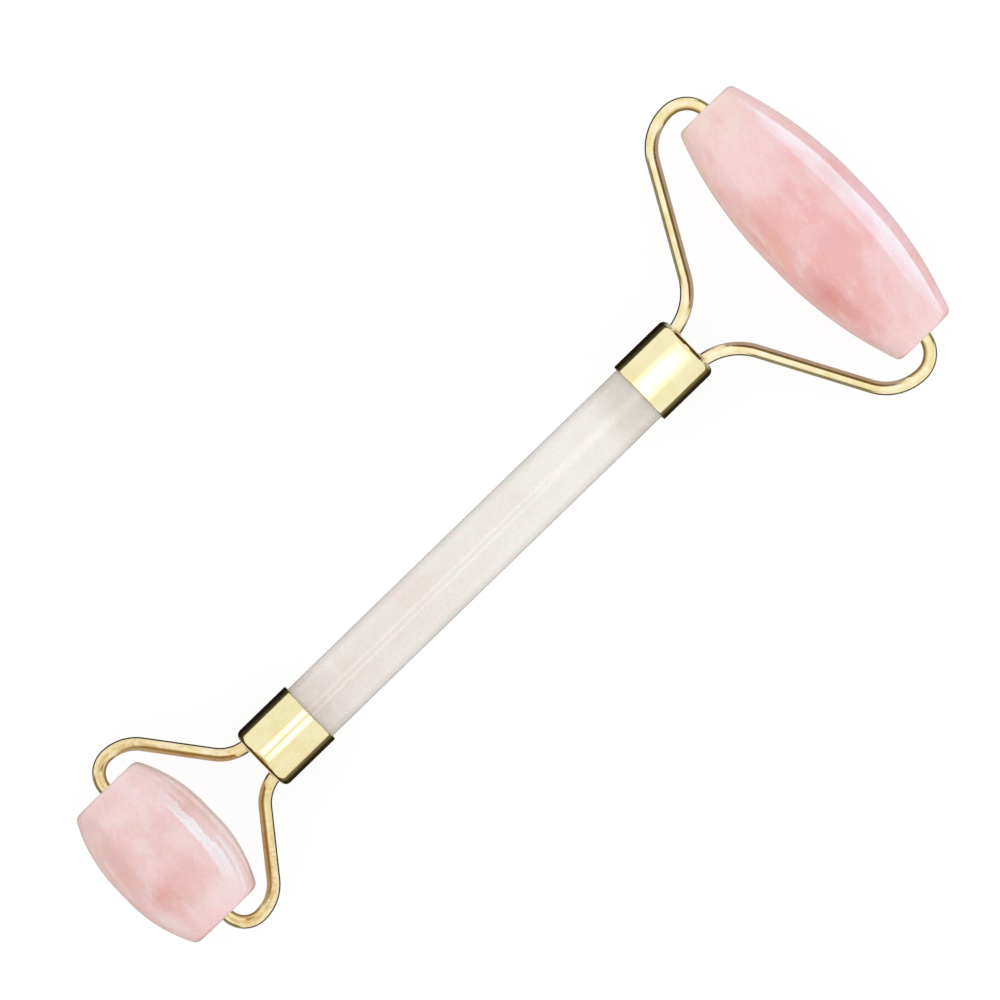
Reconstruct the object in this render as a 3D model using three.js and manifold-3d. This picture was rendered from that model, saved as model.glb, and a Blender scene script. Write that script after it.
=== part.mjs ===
// Face roller: a polished stone handle with a barrel-shaped stone head at each end.
// Each head turns on the tips of two bent wire arms, which are brazed into a metal ferrule.
//
// Units are millimetres. +X runs along the handle towards the large head, Y along both spin
// axes and Z up. The roller lies on its two heads, and the origin is on the surface that they
// rest on, below the middle of the whole object. Left is the +Y side.

import * as THREE from 'three';
import { mergeVertices } from 'three/addons/utils/BufferGeometryUtils.js';
import Module from 'manifold-3d';

const manifold = await Module();
manifold.setup();

const degrees = THREE.MathUtils.degToRad;

// Whole object
const OVERALL_LENGTH = 145;
const CROWN_RADIUS = 8.75; // both heads have it, so the handle lies level
const SPIN_AXIS_X = OVERALL_LENGTH / 2 - CROWN_RADIUS;
const AXIS_HEIGHT = CROWN_RADIUS;

// Facets round a turned piece. A multiple of four puts a flat facet straight down.
const ROUND = 32;

// Handle
const HANDLE_RADIUS = 4.575;
const HANDLE_CHAMFER = 0.3;
const HANDLE_GRIP_DEPTH = 4.8; // how far the rod goes into each ferrule

// Ferrules
const FERRULE_RADIUS = 5.125;
const FERRULE_LENGTH = 9.8;
const FERRULE_WALL = 0.45;
const FERRULE_END_WALL = 0.8;
const FERRULE_RIM_RADIUS = 1;
const WIRE_HOLE_RADIUS = 1.5;

// Wire arms
const WIRE_RADIUS = 1;
const WIRE_SIDES = 12;
const WIRE_STEP = 1.08;
const EXIT_OFFSET = 2.93; // from the handle's axis to the wire at the ferrule's end face
const EXIT_ANGLE = degrees(10); // outwards, from the handle's axis
const TAIL_LENGTH = 2.5; // straight wire behind the ferrule's end face

// Braze metal round each wire where it passes the ferrule's end wall
const SOLDER_RADIUS = 1.33;
const SOLDER_GAP = 0.03;
const SOLDER_INSIDE = 1.15;
const SOLDER_PROUD = 0.4;

// Bores in the heads, the nylon bushes in them and the wire tips in those
const BORE_RADIUS = 2.05;
const BORE_DEPTH = 7.1;
const BORE_CONE = 1.1;
const BORE_MOUTH_CHAMFER = 0.35;
const BUSH_RADIUS = 2;
const BUSH_HOLE_RADIUS = 1.06;
const BUSH_RECESS = 0.8;
const BUSH_LENGTH = 6;
const BUSH_SIDES = 24;
const BUSH_CHAMFER = 0.25;
const PIN_DEPTH = 6.6;

// Epoxy between the handle's end and the ferrule's end wall
const ADHESIVE_GAP = 0.05;
const ADHESIVE_RADIUS = 4.6;
const ADHESIVE_POCKET_RADIUS = 1.6;
const ADHESIVE_POCKET_SPARE = 0.2;

// The two ends of the roller. toward is the way that the end faces along X, and ferruleFace
// is the distance from the origin to the ferrule's closed end.
const ENDS = [
  {
    name: 'large',
    toward: 1,
    ferruleFace: 39,
    head: { length: 44.7, endRadius: 5, cornerRadius: 1, land: 3 },
    arm: { neckCorner: 4.35, slope: degrees(61.2), reach: 25.8, neckRadius: 8.7, tipBend: 4.05 },
    stone: { color: '#eebfbf', roughness: 0.16 },
  },
  {
    name: 'small',
    toward: -1,
    ferruleFace: 45.3,
    head: { length: 24.7, endRadius: 5.85, cornerRadius: 1.3, land: 3 },
    arm: { neckCorner: 2.66, slope: degrees(52.2), reach: 15.65, neckRadius: 6, tipBend: 3.35 },
    stone: { color: '#ecc9c8', roughness: 0.18 },
  },
];

const SIDES = [
  { name: 'left', sign: 1 },
  { name: 'right', sign: -1 },
];

const handleStone = new THREE.MeshStandardMaterial({
  color: '#efe9e6',
  roughness: 0.15,
  metalness: 0,
});
const goldCap = new THREE.MeshStandardMaterial({
  color: '#e8d898',
  roughness: 0.22,
  metalness: 1,
});
const goldWire = new THREE.MeshStandardMaterial({
  color: '#e6cf92',
  roughness: 0.2,
  metalness: 1,
});
const brazeMetal = new THREE.MeshStandardMaterial({
  color: '#dcc68a',
  roughness: 0.4,
  metalness: 1,
});
const nylon = new THREE.MeshStandardMaterial({
  color: '#ecebe4',
  roughness: 0.5,
  metalness: 0,
});
const epoxy = new THREE.MeshStandardMaterial({
  color: '#e4dcc0',
  roughness: 0.35,
  metalness: 0,
});

// A turned body about Y from a profile of (radius, height) points, listed from -Y to +Y.
// Its facets are square to X and Z, and stand at the profile's radii.
function turned(profile, sides = ROUND) {
  const scale = 1 / Math.cos(Math.PI / sides);
  const points = profile.map((p) => new THREE.Vector2(p.x * scale, p.y));
  return new THREE.LatheGeometry(points, sides, Math.PI / sides);
}

// The same body with its axis along +X instead of +Y.
function turnedAlongX(profile, sides = ROUND) {
  return turned(profile, sides).rotateZ(-Math.PI / 2);
}

function point(radius, height) {
  return new THREE.Vector2(radius, height);
}

// Evenly spaced points on a circular arc, both ends included.
function arc(centre, radius, from, to, steps) {
  const circle = new THREE.EllipseCurve(centre.x, centre.y, radius, radius, from, to, from > to);
  return circle.getPoints(steps);
}

function toSolid(geometry) {
  const bare = geometry.clone();
  bare.deleteAttribute('normal');
  bare.deleteAttribute('uv');
  const merged = mergeVertices(bare);
  return new manifold.Manifold(new manifold.Mesh({
    numProp: 3,
    vertProperties: merged.attributes.position.array,
    triVerts: new Uint32Array(merged.index.array),
  }));
}

function toGeometry(solid) {
  const mesh = solid.getMesh();
  const geometry = new THREE.BufferGeometry();
  geometry.setAttribute('position', new THREE.BufferAttribute(mesh.vertProperties, 3));
  geometry.setIndex(new THREE.BufferAttribute(mesh.triVerts, 1));
  geometry.computeVertexNormals();
  return geometry;
}

// A flat line through corners, with each inner corner rounded to its own radius.
function roundedLine(corners, radii) {
  const line = new THREE.Path();
  line.moveTo(corners[0].x, corners[0].y);
  radii.forEach((radius, i) => {
    const corner = corners[i + 1];
    const back = corners[i].clone().sub(corner).normalize();
    const ahead = corners[i + 2].clone().sub(corner).normalize();
    const half = back.angleTo(ahead) / 2;
    const start = back.clone().multiplyScalar(radius / Math.tan(half)).add(corner);
    const middle = back.clone().add(ahead).setLength(radius / Math.sin(half)).add(corner);
    const clockwise = back.cross(ahead) > 0;
    const turn = (Math.PI - 2 * half) * (clockwise ? -1 : 1);
    const from = start.clone().sub(middle).angle();
    line.lineTo(start.x, start.y);
    line.absarc(middle.x, middle.y, radius, from, from + turn, clockwise);
  });
  const last = corners.at(-1);
  line.lineTo(last.x, last.y);
  return line;
}

// A flat line seen as a curve in space, at Z = 0.
class LevelCurve extends THREE.Curve {
  constructor(line) {
    super();
    this.line = line;
  }

  getPoint(t, target = new THREE.Vector3()) {
    const p = this.line.getPoint(t);
    return target.set(p.x, p.y, 0);
  }
}

// A round bar, or a tube if it has a hole, along a flat line.
function bar(line, radius, holeRadius = 0, step = WIRE_STEP) {
  const section = new THREE.Shape(ring(radius));
  if (holeRadius > 0) {
    section.holes.push(new THREE.Path(ring(holeRadius).reverse()));
  }
  return new THREE.ExtrudeGeometry(section, {
    steps: Math.ceil(line.getLength() / step),
    bevelEnabled: false,
    extrudePath: new LevelCurve(line),
  });
}

function ring(radius) {
  return Array.from({ length: WIRE_SIDES }, (_, i) => {
    const angle = (2 * Math.PI * i) / WIRE_SIDES;
    return point(radius * Math.cos(angle), radius * Math.sin(angle));
  });
}

// Where an arm passes the ferrule's end face, and the way that it leaves.
function exitOf(end, sign) {
  return {
    from: point(end.ferruleFace * end.toward, EXIT_OFFSET * sign),
    along: point(Math.cos(EXIT_ANGLE) * end.toward, Math.sin(EXIT_ANGLE) * sign),
  };
}

function onExit(end, sign, distance) {
  const { from, along } = exitOf(end, sign);
  return along.multiplyScalar(distance).add(from);
}

// The centre line of one arm: out of the ferrule, up the slope, round the outer bend and
// inwards along the spin axis as the pin that the head turns on.
function armLine(end, sign) {
  const { arm, head } = end;
  const tail = onExit(end, sign, -TAIL_LENGTH);
  const neck = onExit(end, sign, arm.neckCorner);
  const rise = arm.reach - Math.abs(neck.y);
  const elbow = point(neck.x + (rise / Math.tan(arm.slope)) * end.toward, arm.reach * sign);
  const turn = point(SPIN_AXIS_X * end.toward, arm.reach * sign);
  const tip = point(SPIN_AXIS_X * end.toward, (head.length / 2 - PIN_DEPTH) * sign);
  const elbowRadius = (elbow.distanceTo(turn) - arm.tipBend) / Math.tan(arm.slope / 2);
  return roundedLine([tail, neck, elbow, turn, tip], [arm.neckRadius, elbowRadius, arm.tipBend]);
}

function solderLine(end, sign) {
  const inner = onExit(end, sign, -SOLDER_INSIDE);
  const outer = onExit(end, sign, SOLDER_PROUD);
  const line = new THREE.Path();
  line.moveTo(inner.x, inner.y);
  line.lineTo(outer.x, outer.y);
  return line;
}

// The half of a head's outline on its +Y side: half the flat land on the crown, the long
// barrel arc, the rounded corner, the end face and the blind bore for the bush.
function headHalf(head) {
  const end = head.length / 2;
  const landEnd = head.land / 2;
  const rise = CROWN_RADIUS - head.endRadius;
  const barrelRadius = ((end - landEnd) ** 2 + rise ** 2) / (2 * rise);
  const barrelCentre = point(CROWN_RADIUS - barrelRadius, landEnd);
  const cornerY = end - head.cornerRadius;
  const reach = barrelRadius - head.cornerRadius;
  const cornerX = barrelCentre.x + Math.sqrt(reach ** 2 - (cornerY - landEnd) ** 2);
  const cornerCentre = point(cornerX, cornerY);
  const meet = cornerCentre.clone().sub(barrelCentre).angle();
  return [
    ...arc(barrelCentre, barrelRadius, 0, meet, 5),
    ...arc(cornerCentre, head.cornerRadius, meet, Math.PI / 2, 3).slice(1),
    point(BORE_RADIUS + BORE_MOUTH_CHAMFER, end),
    point(BORE_RADIUS, end - BORE_MOUTH_CHAMFER),
    point(BORE_RADIUS, end - BORE_DEPTH),
    point(0, end - BORE_DEPTH - BORE_CONE),
  ];
}

function headGeometry(head) {
  const half = headHalf(head);
  const mirrored = half.map((p) => point(p.x, -p.y)).reverse();
  return turned([...mirrored, ...half]);
}

// A sleeve about Y, centred on the origin, with its outer edges chamfered.
function bushGeometry() {
  const half = BUSH_LENGTH / 2;
  return turned([
    point(BUSH_HOLE_RADIUS, -half),
    point(BUSH_RADIUS - BUSH_CHAMFER, -half),
    point(BUSH_RADIUS, -half + BUSH_CHAMFER),
    point(BUSH_RADIUS, half - BUSH_CHAMFER),
    point(BUSH_RADIUS - BUSH_CHAMFER, half),
    point(BUSH_HOLE_RADIUS, half),
    point(BUSH_HOLE_RADIUS, -half),
  ], BUSH_SIDES);
}

// A cup along +X: its mouth is at 0 and its closed end at the ferrule's length, with a round
// rim and two holes for the wires.
function ferruleGeometry() {
  const inner = FERRULE_RADIUS - FERRULE_WALL;
  const rim = point(FERRULE_RADIUS - FERRULE_RIM_RADIUS, FERRULE_LENGTH - FERRULE_RIM_RADIUS);
  const cup = toSolid(turnedAlongX([
    point(0, FERRULE_LENGTH - FERRULE_END_WALL),
    point(inner, FERRULE_LENGTH - FERRULE_END_WALL),
    point(inner, 0),
    point(FERRULE_RADIUS, 0),
    ...arc(rim, FERRULE_RIM_RADIUS, 0, Math.PI / 2, 4),
    point(0, FERRULE_LENGTH),
  ]));
  const depth = 3 * FERRULE_END_WALL;
  const offset = EXIT_OFFSET - (FERRULE_END_WALL / 2) * Math.tan(EXIT_ANGLE);
  return toGeometry(SIDES.reduce((solid, side) => {
    const hole = new THREE.CylinderGeometry(WIRE_HOLE_RADIUS, WIRE_HOLE_RADIUS, depth, 20);
    hole.rotateZ(Math.PI / 2);
    hole.translate(FERRULE_LENGTH, offset * side.sign, 0);
    return solid.subtract(toSolid(hole));
  }, cup));
}

// A disc of set epoxy along +X, from the handle's end to the ferrule's end wall, measured
// from the ferrule's mouth, with a pocket round the tail of each wire.
function adhesiveGeometry() {
  const low = HANDLE_GRIP_DEPTH + ADHESIVE_GAP;
  const high = FERRULE_LENGTH - FERRULE_END_WALL - ADHESIVE_GAP;
  const disc = toSolid(turnedAlongX([
    point(0, low),
    point(ADHESIVE_RADIUS, low),
    point(ADHESIVE_RADIUS, high),
    point(0, high),
  ]));
  const length = TAIL_LENGTH + ADHESIVE_POCKET_SPARE;
  return toGeometry(SIDES.reduce((solid, side) => {
    const radius = ADHESIVE_POCKET_RADIUS;
    const pocket = new THREE.CylinderGeometry(radius, radius, length, 20);
    pocket.rotateZ(-Math.PI / 2);
    pocket.translate(-length / 2, 0, 0);
    pocket.rotateZ(EXIT_ANGLE * side.sign);
    pocket.translate(FERRULE_LENGTH, EXIT_OFFSET * side.sign, 0);
    return solid.subtract(toSolid(pocket));
  }, disc));
}

// The rod about X, from the small ferrule's seat to the large one's.
function handleGeometry() {
  const seats = ENDS.map((end) => {
    const mouth = end.ferruleFace - FERRULE_LENGTH;
    return (mouth + HANDLE_GRIP_DEPTH) * end.toward;
  });
  const low = Math.min(...seats);
  const high = Math.max(...seats);
  return turnedAlongX([
    point(0, low),
    point(HANDLE_RADIUS - HANDLE_CHAMFER, low),
    point(HANDLE_RADIUS, low + HANDLE_CHAMFER),
    point(HANDLE_RADIUS, high - HANDLE_CHAMFER),
    point(HANDLE_RADIUS - HANDLE_CHAMFER, high),
    point(0, high),
  ]);
}

function piece(name, geometry, material) {
  const mesh = new THREE.Mesh(geometry, material);
  mesh.name = name;
  return mesh;
}

// A ferrule and its epoxy, placed by the ferrule's mouth and turned to face its own end.
function ferruleGroup(end) {
  const group = new THREE.Group();
  group.position.x = (end.ferruleFace - FERRULE_LENGTH) * end.toward;
  group.rotation.z = end.toward > 0 ? 0 : Math.PI;
  group.add(piece(`${end.name}_ferrule`, ferruleGeometry(), goldCap));
  group.add(piece(`${end.name}_adhesive`, adhesiveGeometry(), epoxy));
  return group;
}

// A head and its bushes, placed by the middle of the spin axis.
function headGroup(end) {
  const group = new THREE.Group();
  group.position.x = SPIN_AXIS_X * end.toward;
  const stone = new THREE.MeshStandardMaterial({ ...end.stone, metalness: 0 });
  group.add(piece(`${end.name}_head`, headGeometry(end.head), stone));
  SIDES.forEach((side) => {
    const bush = piece(`${end.name}_bush_${side.name}`, bushGeometry(), nylon);
    const middle = end.head.length / 2 - BUSH_RECESS - BUSH_LENGTH / 2;
    bush.position.y = middle * side.sign;
    group.add(bush);
  });
  return group;
}

// The two arms of one end, with the braze metal that holds each one in the ferrule.
function armGroup(end) {
  const group = new THREE.Group();
  SIDES.forEach((side) => {
    const arm = bar(armLine(end, side.sign), WIRE_RADIUS);
    const sleeve = solderLine(end, side.sign);
    const solder = bar(sleeve, SOLDER_RADIUS, WIRE_RADIUS + SOLDER_GAP, sleeve.getLength());
    group.add(piece(`${end.name}_arm_${side.name}`, arm, goldWire));
    group.add(piece(`${end.name}_solder_${side.name}`, solder, brazeMetal));
  });
  return group;
}

const faceRoller = new THREE.Group();
faceRoller.position.z = AXIS_HEIGHT;
faceRoller.add(piece('handle_rod', handleGeometry(), handleStone));
ENDS.forEach((end) => {
  faceRoller.add(ferruleGroup(end), armGroup(end), headGroup(end));
});

export default faceRoller;
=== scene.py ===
# Looks of the rose quartz face roller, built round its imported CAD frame.
#
# Units are metres, in the row frame: +X runs along the handle towards the large head, Y along
# both spin axes and Z up. Left is the +Y side. Materials work in millimetres, because stone
# clouds and scratches are easier to judge in them.

import math

import bmesh
import bpy
from mathutils import Matrix, Vector, noise


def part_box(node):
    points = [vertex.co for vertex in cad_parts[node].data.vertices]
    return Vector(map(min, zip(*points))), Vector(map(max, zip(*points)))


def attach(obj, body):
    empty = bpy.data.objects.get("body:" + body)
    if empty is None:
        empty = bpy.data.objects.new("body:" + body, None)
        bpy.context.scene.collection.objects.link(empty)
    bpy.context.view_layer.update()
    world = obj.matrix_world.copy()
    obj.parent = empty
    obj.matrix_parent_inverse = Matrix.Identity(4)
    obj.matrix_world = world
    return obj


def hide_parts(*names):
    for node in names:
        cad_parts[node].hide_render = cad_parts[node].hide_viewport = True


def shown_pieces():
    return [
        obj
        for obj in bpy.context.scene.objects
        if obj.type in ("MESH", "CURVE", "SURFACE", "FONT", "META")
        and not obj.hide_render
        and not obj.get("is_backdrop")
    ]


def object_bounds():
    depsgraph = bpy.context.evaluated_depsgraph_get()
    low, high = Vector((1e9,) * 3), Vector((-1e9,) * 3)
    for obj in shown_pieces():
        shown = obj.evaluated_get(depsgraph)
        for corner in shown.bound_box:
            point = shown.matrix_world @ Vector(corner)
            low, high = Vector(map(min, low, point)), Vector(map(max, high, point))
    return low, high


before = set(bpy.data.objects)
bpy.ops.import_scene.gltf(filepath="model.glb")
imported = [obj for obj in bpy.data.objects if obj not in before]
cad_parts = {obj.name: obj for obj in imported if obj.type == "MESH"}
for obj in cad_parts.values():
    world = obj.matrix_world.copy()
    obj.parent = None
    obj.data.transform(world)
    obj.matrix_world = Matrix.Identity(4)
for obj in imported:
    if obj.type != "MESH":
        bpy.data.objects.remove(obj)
cad_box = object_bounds()

MM = 0.001

# ---- Driving dimensions ----

# Wire arms and the braze metal at their roots
WIRE_RADIUS = 0.975 * MM  # inside the box of the twelve-sided CAD wire
WIRE_SIDES = 32
WIRE_STEP = 0.45 * MM
EXIT_OFFSET = 2.93 * MM  # from the handle's axis to the wire at the ferrule's end face
EXIT_ANGLE = math.radians(10)  # outwards, from the handle's axis
TAIL_LENGTH = 2.5 * MM
PIN_DEPTH = 6.6 * MM
WIRE_HOLE_RADIUS = 1.3 * MM
BRAZE_RADIUS = 1.45 * MM
BRAZE_HEIGHT = 0.14 * MM
BRAZE_UNEVEN = 0.12  # share by which its width and height wander
BRAZE_RIPPLE = 1.3  # how quickly they wander round the wire
BRAZE_INSIDE = 1.1 * MM
BRAZE_SHOULDER = 0.35 * MM  # how deep in the hole its foot begins
BRAZE_FIT = (0.985, 0.99)  # shares of the wire's and the hole's radius at which it touches them
BRAZE_SIDES = 40
BRAZE_STEPS = 8  # across its hollow face

# Ferrules
FERRULE_WALL = 0.45 * MM
FERRULE_END_WALL = 0.8 * MM
FERRULE_RIM_RADIUS = 1.0 * MM
FERRULE_MOUTH_ROUND = 0.16 * MM
FERRULE_MOUTH_CHAMFER = 0.1 * MM  # inside
DRILL_REACH = 2 * MM  # to either side of the ferrule's end face
DRILL_STEP = 0.5 * MM

# Handle
HANDLE_END_ROUND = 0.35 * MM
HANDLE_HOLLOWS = (0.03 * MM, 9 * MM)  # how deep and how wide its hand-ground hollows are

# Heads, their blind bores and the bushes in them
HEAD_LAND = 3.0 * MM
HEAD_HOLLOWS = (0.1 * MM, 7 * MM)
BORE_RADIUS = 2.05 * MM
BORE_DEPTH = 7.1 * MM
BORE_CONE = 1.1 * MM
BORE_MOUTH_ROUND = 0.35 * MM
BUSH_HOLE_RADIUS = 1.05 * MM
BUSH_ROUND = 0.25 * MM

# The two ends of the roller. toward is the way that the end faces along X. The end and corner
# radii are its head's. Its arms run to neck_corner, turn to their slope, get as far out as reach
# and turn in to the head. Their first and last bends have the neck and the tip radius.
ENDS = [
    {
        "name": "large",
        "toward": 1,
        "end_radius": 5.0 * MM,
        "corner_radius": 1.0 * MM,
        "neck_corner": 4.35 * MM,
        "slope": math.radians(61.2),
        "reach": 25.8 * MM,
        "neck_radius": 8.7 * MM,
        "tip_radius": 4.05 * MM,
    },
    {
        "name": "small",
        "toward": -1,
        "end_radius": 5.85 * MM,
        "corner_radius": 1.3 * MM,
        "neck_corner": 2.66 * MM,
        "slope": math.radians(52.2),
        "reach": 15.65 * MM,
        "neck_radius": 6.0 * MM,
        "tip_radius": 3.35 * MM,
    },
]
SIDES = {"left": 1, "right": -1}


def middle(node):
    low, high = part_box(node)
    return (low + high) / 2


def extent(node):
    low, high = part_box(node)
    return high - low


AXIS_HEIGHT = middle("handle_rod").z


# ---- Mesh tools ----

SHARP_ANGLE = math.radians(35)  # edges that turn by more are shaded sharp
HOLD = 0.04 * MM  # from the ends of a straight stretch to the points that keep it straight
DOME_STEPS = 5  # rings in the round end of a bar
CIRCLE_SIDES = 96


def new_object(name, vertices, faces, material, closed=True):
    """A smooth-shaded object. The faces of a closed one are made to look outwards."""
    mesh = bpy.data.meshes.new(name)
    mesh.from_pydata(vertices, [], faces)
    if closed:
        solid = bmesh.new()
        solid.from_mesh(mesh)
        bmesh.ops.recalc_face_normals(solid, faces=solid.faces)
        solid.to_mesh(mesh)
        solid.free()
    mesh.materials.append(material)
    smooth(mesh)
    piece = bpy.data.objects.new(name, mesh)
    bpy.context.scene.collection.objects.link(piece)
    return piece


def smooth(mesh):
    mesh.shade_smooth()
    mesh.set_sharp_from_angle(angle=SHARP_ANGLE)


def skinned(name, rings, material, closed=False):
    """A piece from rings of points, each joined to the next. A pole is a ring of one point."""
    sides = max(len(ring) for ring in rings)
    vertices = []
    numbers = []
    for ring in rings:
        numbers.append([len(vertices) + i % len(ring) for i in range(sides)])
        vertices += ring
    pairs = list(zip(numbers, numbers[1:]))
    if closed:
        pairs.append((numbers[-1], numbers[0]))
    faces = []
    for low, high in pairs:
        for i in range(sides):
            j = (i + 1) % sides
            faces.append(list(dict.fromkeys([low[i], low[j], high[j], high[i]])))
    return new_object(name, vertices, faces, material)


def spokes(across, sides):
    """Unit vectors evenly round a level axis, from a level one across it."""
    angles = [math.tau * i / sides for i in range(sides)]
    return [across * math.cos(a) + Vector((0, 0, math.sin(a))) for a in angles]


def turning(axis, centre):
    """Places (radius, angle, height) points round an axis, which is "X" or "Y", at a centre."""

    def place(radius, angle, height):
        across, up = radius * math.cos(angle), radius * math.sin(angle)
        local = Vector((height, across, up)) if axis == "X" else Vector((across, height, up))
        return centre + local

    return place


def turned(name, profile, place, material, segments=96, ripple=None, closed=False):
    """A turned piece from a profile of (radius, height) points. One at radius 0 is a pole.
    ripple gives how far a point of the surface lies inside the true shape."""

    def ring(radius, height):
        if radius == 0:
            return [place(0, 0, height)]
        points = []
        for i in range(segments):
            angle = math.tau * i / segments
            inset = ripple(radius, angle, height) if ripple else 0
            points.append(place(radius - inset, angle, height))
        return points

    return skinned(name, [ring(*at) for at in profile], material, closed)


def arc(centre, radius, start, end, steps):
    """Evenly spaced (x, y) points on a circular arc, both ends included."""
    angles = [start + (end - start) * i / steps for i in range(steps + 1)]
    return [(centre[0] + radius * math.cos(a), centre[1] + radius * math.sin(a)) for a in angles]


def circle(radius):
    """Points on a flat circle round the origin."""
    angles = [math.tau * i / CIRCLE_SIDES for i in range(CIRCLE_SIDES)]
    return [radius * Vector((math.cos(a), math.sin(a), 0)) for a in angles]


def between(start, end, steps):
    """Points that divide a straight stretch of a profile, without its two ends. The first and
    the last lie close to them, so that smooth shading keeps the stretch straight."""
    (r0, h0), (r1, h1) = start, end
    hold = HOLD / math.hypot(r1 - r0, h1 - h0)
    shares = [hold] + [i / steps for i in range(1, steps)] + [1 - hold]
    return [(r0 + (r1 - r0) * s, h0 + (h1 - h0) * s) for s in shares]


def rounded_line(corners, radii, step):
    """(point, direction) pairs along a flat line whose inner corners are rounded."""
    places = []
    at = corners[0]
    for before, corner, after, radius in zip(corners, corners[1:], corners[2:], radii):
        back = (before - corner).normalized()
        ahead = (after - corner).normalized()
        half = back.angle(ahead) / 2
        start = corner + back * (radius / math.tan(half))
        centre = corner + (back + ahead).normalized() * (radius / math.sin(half))
        places += straight(at, start, step)
        turn = math.copysign(math.pi - 2 * half, ahead.cross(back))
        steps = math.ceil(abs(turn) * radius / step)
        for i in range(steps):
            spin = Matrix.Rotation(turn * i / steps, 2)
            places.append((centre + spin @ (start - centre), spin @ -back))
        at = centre + Matrix.Rotation(turn, 2) @ (start - centre)
    places += straight(at, corners[-1], step)
    places.append((corners[-1], places[-1][1]))
    return places


def straight(start, end, step):
    """The same pairs along a straight stretch, without its end. A bend that starts where the
    last one stops leaves no stretch between them."""
    along = end - start
    if along.length < step / 100:
        return []
    steps = math.ceil(along.length / step)
    return [(start + along * (i / steps), along.normalized()) for i in range(steps)]


def bar(name, places, radius, material):
    """A round bar with round ends along a flat line at the height of the spin axes."""

    def dome(place, sign):
        """Rings that grow from a point at one end of the bar, which runs on that way."""
        point, along = place
        angles = [math.pi / 2 * i / DOME_STEPS for i in range(DOME_STEPS + 1)]
        inset = [radius * (1 - math.cos(a)) * sign for a in angles]
        return [(point + along * d, along, radius * math.sin(a)) for a, d in zip(angles, inset)]

    def ring(point, along, size):
        centre = Vector((point.x, point.y, AXIS_HEIGHT))
        if size == 0:
            return [centre]
        side = Vector((-along.y, along.x, 0))
        return [centre + spoke * size for spoke in spokes(side, WIRE_SIDES)]

    covered = math.ceil(radius / WIRE_STEP)  # places that the round ends take up
    rows = dome(places[0], 1)
    rows += [(point, along, radius) for point, along in places[covered:-covered]]
    rows += reversed(dome(places[-1], -1))
    return skinned(name, [ring(*row) for row in rows], material)


def drilled(piece, cutters):
    """Cuts the cutters' shapes out of a piece and removes the cutters."""
    for cutter in cutters:
        cut = piece.modifiers.new("cut", "BOOLEAN")
        cut.operation = "DIFFERENCE"
        cut.solver = "EXACT"
        cut.object = cutter
    graph = bpy.context.evaluated_depsgraph_get()
    mesh = bpy.data.meshes.new_from_object(piece.evaluated_get(graph))
    piece.modifiers.clear()
    piece.data = mesh
    smooth(mesh)
    for cutter in cutters:
        bpy.data.objects.remove(cutter)
    return piece


# ---- Material tools ----


def linear(red, green, blue):
    """A shader colour from the 0 to 255 values that a picture shows."""

    def channel(value):
        share = value / 255
        return share / 12.92 if share <= 0.04045 else ((share + 0.055) / 1.055) ** 2.4

    return (channel(red), channel(green), channel(blue), 1)


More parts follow.
